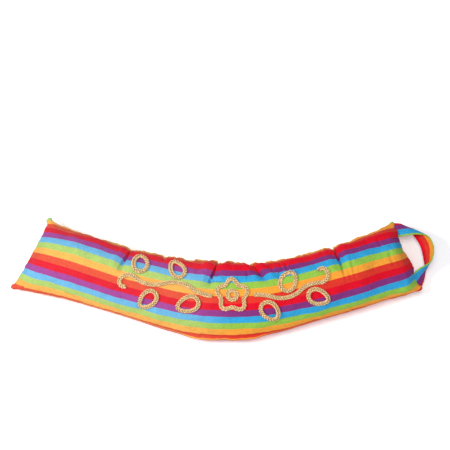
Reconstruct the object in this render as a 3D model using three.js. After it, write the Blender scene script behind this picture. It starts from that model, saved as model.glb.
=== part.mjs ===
import * as THREE from 'three';

// Draught excluder: a long filled cushion of striped cotton with a carry strap of the same
// cloth sewn in one end seam, and a rope-work flower, stems and leaves sewn on its face.
// It lies on its back, bent in the middle. Millimetres, +X along it, +Z up, floor at z = 0.

// Cushion, measured along its middle line from the bend's middle
const END_LEFT = -412;
const END_RIGHT = 424;
const STEPS_ALONG = 96;
const STEPS_ACROSS = 20;
const ARCH_SAMPLES = 64;
const PANEL_WIDTH = 200;
const NORMAL_REACH = 2;

// Bend in plan: straight halves joined by one arc
const HEADING_LEFT = THREE.MathUtils.degToRad(-17);
const HEADING_RIGHT = THREE.MathUtils.degToRad(16.8);
const BEND_START = -114;
const BEND_LENGTH = 260;

// Ends: the seams run askew, their corners stand out as ears and their middles rise
const END_REACH = 150;
const SKEW_LEFT = Math.tan(THREE.MathUtils.degToRad(10));
const SKEW_RIGHT = Math.tan(THREE.MathUtils.degToRad(3.5));
const EAR_REACH_LEFT = 8;
const EAR_REACH_RIGHT = 4;
const EAR_INSET = 0.4;
const SEAM_BOW = 13;

// The far seam lies a little higher than the near one; the belly meets the floor softly
const SIDE_TILT = Math.tan(THREE.MathUtils.degToRad(5));
const FLOOR_ROUNDING = 9;

// Sections along the cushion: half width, height of the crown over the seam, depth of the
// belly under it before the floor flattens it, height of the seam, drift towards the far side,
// and how pointed each arch is: a power of a sine, for the face on both sides and for the back
const SECTIONS = [
  { at: -412, half: 84, crown: 0, belly: 0, seam: 31, drift: 0, farArch: 1.7, nearArch: 1.4, backArch: 0.9 },
  { at: -386, half: 80, crown: 35, belly: 26, seam: 35, drift: -2, farArch: 1.7, nearArch: 1.4, backArch: 0.9 },
  { at: -350, half: 75.5, crown: 53, belly: 48, seam: 38, drift: -2.5, farArch: 1.5, nearArch: 1.7, backArch: 0.9 },
  { at: -300, half: 72, crown: 66, belly: 61, seam: 42, drift: -2.5, farArch: 1.3, nearArch: 1.75, backArch: 0.9 },
  { at: -200, half: 71.5, crown: 62.5, belly: 66, seam: 44, drift: -2.5, farArch: 1.7, nearArch: 1.35, backArch: 0.9 },
  { at: -110, half: 76, crown: 55, belly: 66, seam: 46, drift: 0.5, farArch: 1.35, nearArch: 1.7, backArch: 0.7 },
  { at: 0, half: 81, crown: 49, belly: 63, seam: 46, drift: 1.5, farArch: 1.15, nearArch: 2.2, backArch: 0.6 },
  { at: 110, half: 75.5, crown: 61.5, belly: 65, seam: 46, drift: -4.5, farArch: 1.4, nearArch: 1.75, backArch: 0.7 },
  { at: 210, half: 72, crown: 63, belly: 66, seam: 44, drift: -7.5, farArch: 1.7, nearArch: 0.95, backArch: 0.9 },
  { at: 300, half: 72, crown: 59.5, belly: 61, seam: 42, drift: -8.5, farArch: 1.55, nearArch: 0.9, backArch: 0.9 },
  { at: 350, half: 73.5, crown: 46.5, belly: 48, seam: 38, drift: -5, farArch: 1.4, nearArch: 0.75, backArch: 0.9 },
  { at: 397, half: 78, crown: 34.5, belly: 26, seam: 35, drift: -3.5, farArch: 1.45, nearArch: 0.6, backArch: 0.9 },
  { at: 424, half: 82, crown: 0, belly: 0, seam: 31, drift: -0.5, farArch: 1.45, nearArch: 0.6, backArch: 0.9 },
];

// Creases that run in from the far seam, on the inside of the bend: place along the cushion,
// slant, where across the face each starts and ends, depth and half width
const CREASES = [
  { at: -200, slant: -0.12, from: -20, to: 105, depth: 5, width: 9 },
  { at: -131, slant: 0.05, from: -20, to: 48, depth: 4, width: 9 },
  { at: -70, slant: -0.1, from: -20, to: 40, depth: 3, width: 9 },
  { at: 10, slant: -0.33, from: -20, to: 92, depth: 8, width: 10 },
  { at: 75, slant: 0.45, from: -20, to: 84, depth: 6, width: 9 },
  { at: 150, slant: -0.15, from: 50, to: 104, depth: 3, width: 9 },
  { at: 272, slant: 0, from: -20, to: 112, depth: 6, width: 9 },
];
const CREASE_FADE = 26;
const CREASE_FADE_BACK = 30;
const PUFF = 0.3;
const PUFF_PLACE = 2.1;

// Carry strap: a folded band; each row is a section of the loop beyond the right end seam,
// measured outwards, towards the far side and up, with the lean of the band's width and
// how far its middle bulges outwards
const STRAP_WIDTH = 41;
const STRAP_THICKNESS = 3;
const STRAP_STEPS = 36;
const STRAP_STEPS_ACROSS = 4;
const STRAP_GAP = 0.5;
const STRAP_FAR_END = 0.125;
const STRAP_NEAR_END = 0.87;
const STRAP_ROWS = [
  { out: 13, across: 51, up: 41, leanOut: 0.15, leanAcross: -0.84, leanUp: 0.53, bulge: 3 },
  { out: 30, across: 43, up: 37, leanOut: 0.35, leanAcross: -0.69, leanUp: 0.65, bulge: 6 },
  { out: 43, across: 30, up: 34, leanOut: 0.62, leanAcross: -0.46, leanUp: 0.64, bulge: 6 },
  { out: 51, across: 11, up: 32, leanOut: 0.6, leanAcross: -0.37, leanUp: 0.71, bulge: 4 },
  { out: 49, across: -10, up: 32, leanOut: 0.47, leanAcross: -0.28, leanUp: 0.83, bulge: 3 },
  { out: 38, across: -29, up: 32, leanOut: 0.2, leanAcross: -0.05, leanUp: 0.97, bulge: 2 },
  { out: 19, across: -46, up: 31, leanOut: -0.1, leanAcross: 0.5, leanUp: 0.86, bulge: 1 },
];

// Rope work, laid out on the face in plan: along the cushion and across it from the far seam
const ROPE_RADIUS = 4.6;
const ROPE_SIDES = 8;
const ROPE_STEP = 6;
const ROPE_GAP = 0.6;
const FLOWER = { along: 34, across: 103, radius: 29, lobes: 5, lobe: 0.16, start: -90 };
const FLOWER_STEPS = 36;
const RING_RADIUS = 9.6;
const RING_STEPS = 14;
const LEAF = { length: 43, width: 29, egg: 0.22, offset: 15.6 };

// Stems start beside the flower and are runs of arcs: length and turn in degrees
const STEMS = [
  {
    name: 'rope_stem_left', along: -7, across: 106, heading: 180,
    runs: [
      { length: 44, turn: 28 }, { length: 66, turn: -58 }, { length: 64, turn: 58 },
      { length: 34, turn: -100 }, { length: 26, turn: -150 },
    ],
  },
  {
    name: 'rope_stem_right', along: 77, across: 104, heading: 0,
    runs: [
      { length: 40, turn: 26 }, { length: 58, turn: -56 }, { length: 46, turn: 44 },
      { length: 32, turn: -100 }, { length: 26, turn: -150 },
    ],
  },
];

// Leaves: on which stem, how far along it, on which side and at what angle to it
const LEAVES = [
  { stem: 0, along: 26, side: -1, angle: 46 },
  { stem: 0, along: 72, side: 1, angle: 42 },
  { stem: 0, along: 128, side: -1, angle: 48 },
  { stem: 0, along: 172, side: 1, angle: 46 },
  { stem: 1, along: 26, side: 1, angle: 50 },
  { stem: 1, along: 68, side: -1, angle: 50 },
  { stem: 1, along: 112, side: 1, angle: 50 },
];

const fabric = (name, color) => new THREE.MeshStandardMaterial({ name, color, roughness: 0.9, metalness: 0 });
const cotton = fabric('cotton', 0xd9473f);
const webbing = fabric('webbing', 0x4aa3d8);
const jute = fabric('jute', 0xc7a670);

const clamp = THREE.MathUtils.clamp;

// Slope at a row of a table, level where the values turn
function rowSlope(rows, column, i) {
  const rise = (k) => (rows[k + 1][column] - rows[k][column]) / (rows[k + 1].at - rows[k].at);
  if (i === 0) return rise(0);
  if (i === rows.length - 1) return rise(i - 1);
  const before = rise(i - 1);
  const after = rise(i);
  return before * after <= 0 ? 0 : (2 * before * after) / (before + after);
}

// Smooth value of a table's column at a place along the cushion
function readTable(rows, column, along) {
  const place = clamp(along, rows[0].at, rows[rows.length - 1].at);
  let i = 0;
  while (i < rows.length - 2 && place >= rows[i + 1].at) i += 1;
  const span = rows[i + 1].at - rows[i].at;
  const t = (place - rows[i].at) / span;
  const t2 = t * t;
  const t3 = t2 * t;
  return (2 * t3 - 3 * t2 + 1) * rows[i][column]
    + (t3 - 2 * t2 + t) * span * rowSlope(rows, column, i)
    + (-2 * t3 + 3 * t2) * rows[i + 1][column]
    + (t3 - t2) * span * rowSlope(rows, column, i + 1);
}

// Middle line in plan: point and heading at a distance along it
function middleLine(along) {
  const radius = BEND_LENGTH / (HEADING_RIGHT - HEADING_LEFT);
  const headingAt = (s) => HEADING_LEFT + clamp(s - BEND_START, 0, BEND_LENGTH) / radius;
  const onArc = (heading) => [radius * Math.sin(heading), -radius * Math.cos(heading)];
  const heading = headingAt(along);
  const [x, y] = onArc(heading);
  const [zeroX, zeroY] = onArc(headingAt(0));
  const straight = Math.min(along - BEND_START, 0) + Math.max(along - BEND_START - BEND_LENGTH, 0);
  return {
    x: x - zeroX + straight * Math.cos(heading),
    y: y - zeroY + straight * Math.sin(heading),
    heading,
  };
}

// Keeps a height off the floor, rounding into it over FLOOR_ROUNDING
function restOnFloor(z) {
  if (z > FLOOR_ROUNDING) return z;
  if (z < -FLOOR_ROUNDING) return 0;
  return (z + FLOOR_ROUNDING) ** 2 / (4 * FLOOR_ROUNDING);
}

// One panel of one section, seam to seam, with the cloth's length along it
function panelSection(along, front) {
  const half = readTable(SECTIONS, 'half', along);
  const swell = front ? readTable(SECTIONS, 'crown', along) : -readTable(SECTIONS, 'belly', along);
  const seam = readTable(SECTIONS, 'seam', along);
  const [farArch, nearArch, backArch] = ['farArch', 'nearArch', 'backArch']
    .map((column) => readTable(SECTIONS, column, along));
  const points = [];
  let length = 0;
  for (let i = 0; i <= ARCH_SAMPLES; i += 1) {
    const angle = (Math.PI * i) / ARCH_SAMPLES;
    const y = half * Math.cos(angle);
    const faceArch = y > 0 ? farArch : nearArch;
    const arch = Math.max(Math.sin(angle), 0) ** (front ? faceArch : backArch);
    const z = restOnFloor(seam + SIDE_TILT * y + swell * arch);
    if (i > 0) length += Math.hypot(y - points[i - 1].y, z - points[i - 1].z);
    points.push({ y, z, length });
  }
  return { half, crown: readTable(SECTIONS, 'crown', along), seam, points, length };
}

// Point of a section at a share of the panel's width from the far seam
function pointOnSection(section, share) {
  const wanted = clamp(share, 0, 1) * section.length;
  let i = 1;
  while (i < section.points.length - 1 && section.points[i].length < wanted) i += 1;
  const [a, b] = [section.points[i - 1], section.points[i]];
  const t = clamp((wanted - a.length) / (b.length - a.length || 1), 0, 1);
  return { y: a.y + (b.y - a.y) * t, z: a.z + (b.z - a.z) * t };
}

// Depth of the creases at a place on a panel, less where the cloth puffs up beside them
function creaseDepth(along, across, front) {
  return CREASES.reduce((sum, crease) => {
    const away = (along - crease.at - crease.slant * across) / crease.width;
    const rise = THREE.MathUtils.smoothstep(across, crease.from, crease.from + CREASE_FADE);
    const end = front ? crease.to : CREASE_FADE_BACK;
    const fall = 1 - THREE.MathUtils.smoothstep(across, end - CREASE_FADE, end);
    const onBack = !front && crease.from > 0 ? 0 : 1;
    const trough = Math.exp(-away * away) - PUFF * Math.exp(-((Math.abs(away) - PUFF_PLACE) ** 2));
    return sum + crease.depth * trough * (crease.from > 0 ? rise : 1) * fall * onBack;
  }, 0);
}

// Point of the cover: place along, share of the panel's width from the far seam, face or back
function coverPoint(along, share, front, section = panelSection(along, front)) {
  const { y, z } = pointOnSection(section, share);
  const u = y / section.half;
  const depth = creaseDepth(along, share * PANEL_WIDTH, front);
  const outY = u / section.half;
  const outZ = (z - section.seam - SIDE_TILT * y) / Math.max(section.crown, 1) ** 2;
  const outLength = Math.hypot(outY, outZ) || 1;
  const creasedY = y - (depth * outY) / outLength;
  const creasedZ = z - (z > 0 ? (depth * outZ) / outLength : 0);

  const side = Math.sign(along);
  const toEnd = along < 0 ? along - END_LEFT : END_RIGHT - along;
  const ramp = clamp(1 - toEnd / END_REACH, 0, 1) ** 2;
  const skew = along < 0 ? SKEW_LEFT : SKEW_RIGHT;
  const ear = along < 0 ? EAR_REACH_LEFT : EAR_REACH_RIGHT;
  const reach = ramp * (-skew * y + ear * (Math.abs(u) ** 3 - EAR_INSET));
  const line = middleLine(along + side * reach);
  const offset = creasedY + readTable(SECTIONS, 'drift', along);
  const bow = z > 0 ? SEAM_BOW * ramp * (1 - u * u) : 0;
  return new THREE.Vector3(
    line.x - Math.sin(line.heading) * offset,
    line.y + Math.cos(line.heading) * offset,
    Math.max(creasedZ + bow, 0),
  );
}

// Outward direction of the face at a place on it
function faceNormal(along, share) {
  const reach = NORMAL_REACH;
  const step = NORMAL_REACH / PANEL_WIDTH;
  const edge = (from, to) => coverPoint(...to, true).sub(coverPoint(...from, true));
  const alongEdge = edge([along - reach, share], [along + reach, share]);
  const acrossEdge = edge([along, share + step], [along, share - step]);
  return alongEdge.cross(acrossEdge).normalize();
}

function makeMesh(name, material, vertices, triangles) {
  const geometry = new THREE.BufferGeometry();
  const numbers = vertices.flatMap((v) => [v.x, v.y, v.z]);
  geometry.setAttribute('position', new THREE.Float32BufferAttribute(numbers, 3));
  geometry.setIndex(triangles);
  geometry.computeVertexNormals();
  const mesh = new THREE.Mesh(geometry, material);
  mesh.name = name;
  return mesh;
}

// The filled cushion: two panels that share the seams all round
function makeCover() {
  const vertices = [];
  const triangles = [];
  const faceAt = [];
  const backAt = [];
  for (let i = 0; i <= STEPS_ALONG; i += 1) {
    const along = END_LEFT + ((END_RIGHT - END_LEFT) * i) / STEPS_ALONG;
    const atEnd = i === 0 || i === STEPS_ALONG;
    const faceSection = panelSection(along, true);
    const backSection = panelSection(along, false);
    faceAt.push([]);
    backAt.push([]);
    for (let j = 0; j <= STEPS_ACROSS; j += 1) {
      const share = j / STEPS_ACROSS;
      const onSeam = atEnd || j === 0 || j === STEPS_ACROSS;
      vertices.push(coverPoint(along, share, true, faceSection));
      faceAt[i].push(vertices.length - 1);
      if (!onSeam) vertices.push(coverPoint(along, share, false, backSection));
      backAt[i].push(vertices.length - 1);
    }
  }
  const addCell = (grid, i, j, up) => {
    const [a, b, c, d] = [grid[i][j], grid[i + 1][j], grid[i + 1][j + 1], grid[i][j + 1]];
    if (up) triangles.push(a, c, b, a, d, c);
    else triangles.push(a, b, c, a, c, d);
  };
  for (let i = 0; i < STEPS_ALONG; i += 1) {
    for (let j = 0; j < STEPS_ACROSS; j += 1) {
      addCell(faceAt, i, j, true);
      addCell(backAt, i, j, false);
    }
  }
  return makeMesh('cover', cotton, vertices, triangles);
}

// Skin over rings of points that all have the same count, closed on itself or capped
function skinRings(name, material, rings, closed) {
  const vertices = rings.flat();
  const count = rings[0].length;
  const triangles = [];
  const last = closed ? rings.length : rings.length - 1;
  for (let i = 0; i < last; i += 1) {
    const here = i * count;
    const next = ((i + 1) % rings.length) * count;
    for (let k = 0; k < count; k += 1) {
      const m = (k + 1) % count;
      triangles.push(here + k, next + k, next + m, here + k, next + m, here + m);
    }
  }
  if (!closed) {
    const end = (rings.length - 1) * count;
    for (let k = 1; k < count - 1; k += 1) {
      triangles.push(0, k, k + 1, end, end + k + 1, end + k);
    }
  }
  return makeMesh(name, material, vertices, triangles);
}

// Carry strap: from the far part of the right end seam round to its near part
function makeStrap() {
  const { heading } = middleLine(END_RIGHT);
  const out = new THREE.Vector3(Math.cos(heading), Math.sin(heading), 0);
  const farther = new THREE.Vector3(-Math.sin(heading), Math.cos(heading), 0);
  const up = new THREE.Vector3(0, 0, 1);
  const seamMiddle = coverPoint(END_RIGHT, 0.5, true).setZ(0);
  const toFrame = (a, b, c) => new THREE.Vector3()
    .addScaledVector(out, a).addScaledVector(farther, b).addScaledVector(up, c);

  const halfShare = STRAP_WIDTH / 2 / PANEL_WIDTH;
  const seamEnd = (share, direction) => {
    const from = coverPoint(END_RIGHT, share - direction * halfShare, true);
    const to = coverPoint(END_RIGHT, share + direction * halfShare, true);
    return {
      centre: from.clone().add(to).multiplyScalar(0.5).addScaledVector(out, STRAP_GAP),
      lean: to.clone().sub(from).normalize(),
      width: from.distanceTo(to),
      bulge: 0,
    };
  };
  const stations = [
    seamEnd(STRAP_FAR_END, 1),
    ...STRAP_ROWS.map((row) => ({
      centre: toFrame(row.out, row.across, row.up).add(seamMiddle),
      lean: toFrame(row.leanOut, row.leanAcross, row.leanUp).normalize(),
      width: STRAP_WIDTH,
      bulge: row.bulge,
    })),
    seamEnd(STRAP_NEAR_END, -1),
  ];
  const centres = new THREE.CatmullRomCurve3(stations.map((s) => s.centre), false, 'centripetal');
  const leans = new THREE.CatmullRomCurve3(stations.map((s) => s.lean), false, 'catmullrom');
  const shares = Array.from({ length: STRAP_STEPS_ACROSS + 1 }, (_, k) => k / STRAP_STEPS_ACROSS - 0.5);
  const rings = [];
  for (let i = 0; i <= STRAP_STEPS; i += 1) {
    const t = i / STRAP_STEPS;
    const centre = centres.getPoint(t);
    const lean = leans.getPoint(t).normalize();
    const place = t * (stations.length - 1);
    const first = Math.min(Math.floor(place), stations.length - 2);
    const [from, to] = [stations[first], stations[first + 1]];
    const blend = (size) => THREE.MathUtils.lerp(from[size], to[size], place - first);
    const face = lean.clone().cross(centres.getTangent(t)).normalize();
    const across = (share, layer) => centre.clone()
      .addScaledVector(lean, share * blend('width'))
      .addScaledVector(face, blend('bulge') * (1 - 4 * share * share) + layer * STRAP_THICKNESS);
    const inner = shares.map((share) => across(share, -0.5));
    const outer = shares.map((share) => across(share, 0.5));
    rings.push([...inner, ...outer.reverse()]);
  }
  return skinRings('carry_strap', webbing, rings, false);
}

// Points a few millimetres apart along a path of arcs, in the plan of the face
function arcPath({ along, across, heading, runs }) {
  let angle = THREE.MathUtils.degToRad(heading);
  const points = [{ along, across, angle }];
  runs.forEach(({ length, turn }) => {
    const steps = Math.max(Math.round(length / ROPE_STEP), 3);
    for (let i = 0; i < steps; i += 1) {
      const half = THREE.MathUtils.degToRad(turn) / steps / 2;
      const last = points[points.length - 1];
      points.push({
        along: last.along + (Math.cos(angle + half) * length) / steps,
        across: last.across + (Math.sin(angle + half) * length) / steps,
        angle: angle + 2 * half,
      });
      angle += 2 * half;
    }
  });
  return points;
}

// Rope over a path on the face, seated just clear of it
function makeRope(name, path, closed) {
  const seats = path.map(({ along, across }) => {
    const share = across / PANEL_WIDTH;
    const normal = faceNormal(along, share);
    const point = coverPoint(along, share, true).addScaledVector(normal, ROPE_RADIUS + ROPE_GAP);
    return { point, normal };
  });
  const rings = seats.map(({ point, normal }, i) => {
    const before = seats[closed ? (i + seats.length - 1) % seats.length : Math.max(i - 1, 0)].point;
    const after = seats[closed ? (i + 1) % seats.length : Math.min(i + 1, seats.length - 1)].point;
    const tangent = after.clone().sub(before).normalize();
    const sideways = tangent.clone().cross(normal).normalize();
    const upward = sideways.clone().cross(tangent);
    return Array.from({ length: ROPE_SIDES }, (_, k) => {
      const angle = (2 * Math.PI * k) / ROPE_SIDES;
      return point.clone()
        .addScaledVector(sideways, ROPE_RADIUS * Math.cos(angle))
        .addScaledVector(upward, ROPE_RADIUS * Math.sin(angle));
    });
  });
  return skinRings(name, jute, rings, closed);
}

// Closed loop of points about the flower's middle, from its distance at each angle
function loopPath(steps, distanceAt) {
  return Array.from({ length: steps }, (_, i) => {
    const angle = (2 * Math.PI * i) / steps;
    const turned = angle + THREE.MathUtils.degToRad(FLOWER.start);
    return {
      along: FLOWER.along + distanceAt(angle) * Math.cos(turned),
      across: FLOWER.across + distanceAt(angle) * Math.sin(turned),
    };
  });
}

function makeFlower() {
  const lobed = (angle) => FLOWER.radius * (1 + FLOWER.lobe * Math.cos(FLOWER.lobes * angle));
  return makeRope('rope_flower', loopPath(FLOWER_STEPS, lobed), true);
}

function makeRing() {
  return makeRope('rope_ring', loopPath(RING_STEPS, () => RING_RADIUS), true);
}

function makeLeaf(leaf, number, stems) {
  const stem = stems[leaf.stem];
  const base = stem[Math.round(leaf.along / ROPE_STEP)];
  const sideways = base.angle + (leaf.side * Math.PI) / 2;
  const direction = base.angle + leaf.side * THREE.MathUtils.degToRad(leaf.angle);
  const from = {
    along: base.along + Math.cos(sideways) * LEAF.offset,
    across: base.across + Math.sin(sideways) * LEAF.offset,
  };
  const steps = Math.round((Math.PI * (LEAF.length + LEAF.width)) / 2 / ROPE_STEP);
  const path = Array.from({ length: steps }, (_, i) => {
    const angle = (2 * Math.PI * i) / steps;
    const forward = (LEAF.length / 2) * (1 - Math.cos(angle));
    const wide = (LEAF.width / 2) * Math.sin(angle) * (1 + LEAF.egg * Math.cos(angle));
    return {
      along: from.along + forward * Math.cos(direction) - wide * Math.sin(direction),
      across: from.across + forward * Math.sin(direction) + wide * Math.cos(direction),
    };
  });
  return makeRope(`rope_leaf_${number}`, path, true);
}

const group = new THREE.Group();
const stemPaths = STEMS.map(arcPath);
group.add(makeCover());
group.add(makeStrap());
group.add(makeFlower());
group.add(makeRing());
STEMS.forEach((stem, i) => group.add(makeRope(stem.name, stemPaths[i], false)));
LEAVES.forEach((leaf, i) => group.add(makeLeaf(leaf, i + 1, stemPaths)));

// The part's origin is the middle of its box in plan, at floor level
const extent = new THREE.Box3().setFromObject(group);
const middle = extent.getCenter(new THREE.Vector3());
group.position.set(-middle.x, -middle.y, -extent.min.z);

export default group;
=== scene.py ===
import math

import bpy
import numpy as np
from mathutils import Matrix, Vector


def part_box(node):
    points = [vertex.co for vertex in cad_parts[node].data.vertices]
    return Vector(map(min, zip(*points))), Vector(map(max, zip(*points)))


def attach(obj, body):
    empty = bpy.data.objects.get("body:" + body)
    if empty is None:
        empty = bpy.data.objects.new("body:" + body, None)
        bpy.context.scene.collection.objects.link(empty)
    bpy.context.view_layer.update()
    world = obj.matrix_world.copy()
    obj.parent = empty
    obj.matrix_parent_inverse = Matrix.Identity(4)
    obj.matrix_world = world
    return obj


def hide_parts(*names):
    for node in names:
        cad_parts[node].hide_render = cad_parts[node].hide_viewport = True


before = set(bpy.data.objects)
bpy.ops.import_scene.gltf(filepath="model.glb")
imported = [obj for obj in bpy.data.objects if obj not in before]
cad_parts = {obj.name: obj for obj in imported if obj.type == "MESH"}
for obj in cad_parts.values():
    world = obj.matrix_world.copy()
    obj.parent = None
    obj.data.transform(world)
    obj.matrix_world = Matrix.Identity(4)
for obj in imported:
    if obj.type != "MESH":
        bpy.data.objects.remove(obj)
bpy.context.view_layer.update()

MM = 0.001
TINY = 1e-9

# Sizes, in millimetres
END_LEFT = -412.0
END_RIGHT = 424.0
ARCH_SAMPLES = 256
PANEL_WIDTH = 200.0
COARSE_GRID = (96, 20)
FINE_GRID = (468, 104)
SEAM_CROWDING = 0.35

HEADING_LEFT = math.radians(-17)
HEADING_RIGHT = math.radians(16.8)
BEND_START = -114.0
BEND_LENGTH = 260.0

END_REACH = 150.0
SKEW_LEFT = math.tan(math.radians(10))
SKEW_RIGHT = math.tan(math.radians(3.5))
EAR_REACH_LEFT = 8.0
EAR_REACH_RIGHT = 4.0
EAR_INSET = 0.4
SEAM_BOW = 13.0
SIDE_TILT = math.tan(math.radians(5))
FLOOR_ROUNDING = 9.0

# Sections along the cushion: at, half width, crown, belly, seam height, drift, and the power of
# the sine that shapes the face's far side, its near side and the back. The half width, crown,
# drift and the face's two powers are the rounded output of a fit to the photograph's stripes
SECTION_COLUMNS = ("at", "half", "crown", "belly", "seam", "drift", "far_arch", "near_arch", "back_arch")
SECTIONS = [
    (-412, 84, 0, 0, 31, 0, 1.7, 1.4, 0.9),
    (-386, 80, 35, 26, 35, -2, 1.7, 1.4, 0.9),
    (-350, 75.5, 53, 48, 38, -2.5, 1.5, 1.7, 0.9),
    (-300, 72, 66, 61, 42, -2.5, 1.3, 1.75, 0.9),
    (-200, 71.5, 62.5, 66, 44, -2.5, 1.7, 1.35, 0.9),
    (-110, 76, 55, 66, 46, 0.5, 1.35, 1.7, 0.7),
    (0, 81, 49, 63, 46, 1.5, 1.15, 2.2, 0.6),
    (110, 75.5, 61.5, 65, 46, -4.5, 1.4, 1.75, 0.7),
    (210, 72, 63, 66, 44, -7.5, 1.7, 0.95, 0.9),
    (300, 72, 59.5, 61, 42, -8.5, 1.55, 0.9, 0.9),
    (350, 73.5, 46.5, 48, 38, -5, 1.4, 0.75, 0.9),
    (397, 78, 34.5, 26, 35, -3.5, 1.45, 0.6, 0.9),
    (424, 82, 0, 0, 31, -0.5, 1.45, 0.6, 0.9),
]

# Main creases: at, slant, from, to, depth, half width
CREASES = [
    (-200, -0.12, -20, 105, 5, 9),
    (-131, 0.05, -20, 48, 4, 9),
    (-70, -0.1, -20, 40, 3, 9),
    (10, -0.33, -20, 92, 8, 10),
    (75, 0.45, -20, 84, 6, 9),
    (150, -0.15, 50, 104, 3, 9),
    (272, 0, -20, 112, 6, 9),
]
CREASE_FADE = 26.0
CREASE_FADE_BACK = 30.0
PUFF = 0.3
PUFF_PLACE = 2.1

# Fine folds on the face, from one end to the other in cloth millimetres
# (along, across): depth before scaling, half width, and how much its lips stand up
FOLDS = [
    (-199, 2, -211, 100, 3.2, 2.8, 1.2),
    (-222, 10, -232, 62, 0.9, 3.5, 0.3),
    (-184, 4, -176, 44, 1.2, 3.0, 0.5),
    (-131, 0, -128, 42, 2.2, 3.0, 0.7),
    (-104, 0, -112, 30, 1.2, 2.6, 0.5),
    (-84, 0, -80, 34, 1.6, 2.8, 0.6),
    (-60, 0, -66, 28, 1.4, 2.6, 0.5),
    (6, 0, -15, 78, 4.6, 3.0, 1.3),
    (-14, 70, 14, 73, 2.2, 3.2, 1.3),
    (-36, 30, -48, 52, 1.2, 4.0, 0.4),
    (30, 4, 36, 46, 1.0, 3.2, 0.4),
    (80, 6, 108, 68, 2.6, 3.0, 0.9),
    (58, 0, 66, 34, 1.2, 2.8, 0.5),
    (118, 2, 130, 62, 1.5, 3.0, 0.6),
    (72, 44, 68, 72, 1.1, 3.0, 0.6),
    (144, 60, 134, 96, 1.5, 3.0, 0.5),
    (133, 22, 131, 58, 1.3, 2.6, 0.9),
    (152, 26, 150, 70, 1.0, 2.6, 0.9),
    (163, 40, 158, 76, 1.0, 2.8, 0.8),
    (172, 0, 178, 30, 0.9, 3.0, 0.4),
    (206, 0, 198, 34, 0.9, 3.2, 0.4),
    (272, 0, 272, 108, 3.3, 2.6, 1.3),
    (284, 84, 283, 124, 1.0, 3.6, 0.4),
    (251, 4, 246, 40, 1.0, 3.0, 0.4),
    (300, 108, 392, 118, 0.9, 5.0, 0.3),
    (296, 70, 291, 122, 1.0, 3.6, 0.8),
    (384, 78, 380, 120, 1.1, 4.0, 0.8),
    (371, 38, 369, 66, 0.8, 3.4, 0.6),
    (344, 30, 342, 58, 0.6, 3.4, 0.5),
    (-325, 176, -286, 188, 1.4, 3.0, 0.5),
    (-396, 176, -389, 202, 1.7, 2.6, 1.3),
    (14, 160, 62, 150, 0.8, 4.0, 0.3),
    (-60, 170, -20, 160, 0.7, 4.0, 0.3),
    (130, 166, 170, 172, 0.7, 4.0, 0.3),
]
FOLD_SCALE = 1.6
FOLD_RISE = (-0.18, 0.12)
FOLD_FALL = (0.62, 1.12)

# Lips beside a fold: place in half widths, and size
FOLD_LIPS = [(1.9, 1.0), (-2.0, 0.6)]
FOLD_LIP_SHARE = 0.5

# Puckers that the seams draw into the cloth: wavelength, height, phase
PUCKERS = [(9.5, 0.16, 0.3), (14.0, 0.3, 2.1), (21.0, 0.4, 4.4), (33.0, 0.5, 1.2)]
PUCKER_REACH = 15.0
NEAR_PUCKERS = 0.7
END_PUCKERS = 0.8
BEND_PUCKERS = 0.9
BEND_PUCKERS_AT = 10
BEND_PUCKERS_HALF = 150
SEAM_GROOVE = 1.3
SEAM_GROOVE_WIDTH = 2.6

# Lumps of the filling under the cloth: wavelength along, wavelength across, height, phases
LUMPS = [
    (64, 90, 0.7, 0.4, 1.9), (43, 57, 0.45, 2.6, 0.3), (29, 41, 0.25, 1.1, 4.0),
    (96, 70, 0.7, 5.1, 2.2), (51, 120, 0.4, 3.3, 5.5),
]
LUMP_FADE = (0, 40)
FLOOR_FADE = (2, 14)

# Carry strap
STRAP_WIDTH = 41.0
STRAP_THICKNESS = 2.6
STRAP_GRID = (170, 20)
STRAP_TUCK = 2.5
STRAP_EDGE_ROUNDING = 1.6
STITCH_INSET = 4
STITCH_DEPTH = 0.3
STITCH_WIDTH = 0.9
STRAP_RIPPLE = 0.35
STRAP_RIPPLE_LENGTHS = (4.1, 9.7)
STRAP_RIPPLE_PHASE = 1.3
STRAP_RIPPLE_ACROSS = 5
STRAP_EDGE_STRIPE = 4.0
STRAP_INNER_EDGE_STRIPE = 1.5
STRAP_FAR_END = 0.125
STRAP_NEAR_END = 0.87

# The strap's loop beyond the right end seam: out, across, up, lean out, lean across, lean up,
# bulge. Typed after seeing the output of a fit to the strap's edges, and close to it
STRAP_ROWS = [
    (16, 56, 41, 0.05, -0.84, 0.54, 3),
    (32, 48, 37, 0.35, -0.65, 0.67, 5),
    (46, 34, 34, 0.6, -0.45, 0.66, 5),
    (52, 12, 32, 0.52, -0.36, 0.77, 4),
    (48, -10, 32, 0.38, -0.25, 0.89, 3),
    (39, -30, 32, 0.15, -0.03, 0.98, 2),
    (19, -47, 31, -0.25, 0.53, 0.81, 1),
]

# Rope work: a flat plait of three strands
FLOWER = {"along": 34.0, "across": 103.0, "radius": 29.0, "lobes": 5, "lobe": 0.16, "start": -90.0}
RING_RADIUS = 9.6
LEAF = {"length": 43.0, "width": 29.0, "egg": 0.22, "offset": 15.6}
CAD_ROPE_STEP = 6.0
FLOWER_STEPS = 200
RING_STEPS = 80
LEAF_STEPS = 120
STEM_STEP = 1.0
LEAST_ARC_STEPS = 3
LEAST_PLAIT_STEPS = 8

# Stems: solid, along, across, heading, and runs of length and turn in degrees
STEMS = [
    ("rope_stem_left", -7.0, 106.0, 180.0, [(44, 28), (66, -58), (64, 58), (34, -100), (26, -150)]),
    ("rope_stem_right", 77.0, 104.0, 0.0, [(40, 26), (58, -56), (46, 44), (32, -100), (26, -150)]),
]

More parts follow.
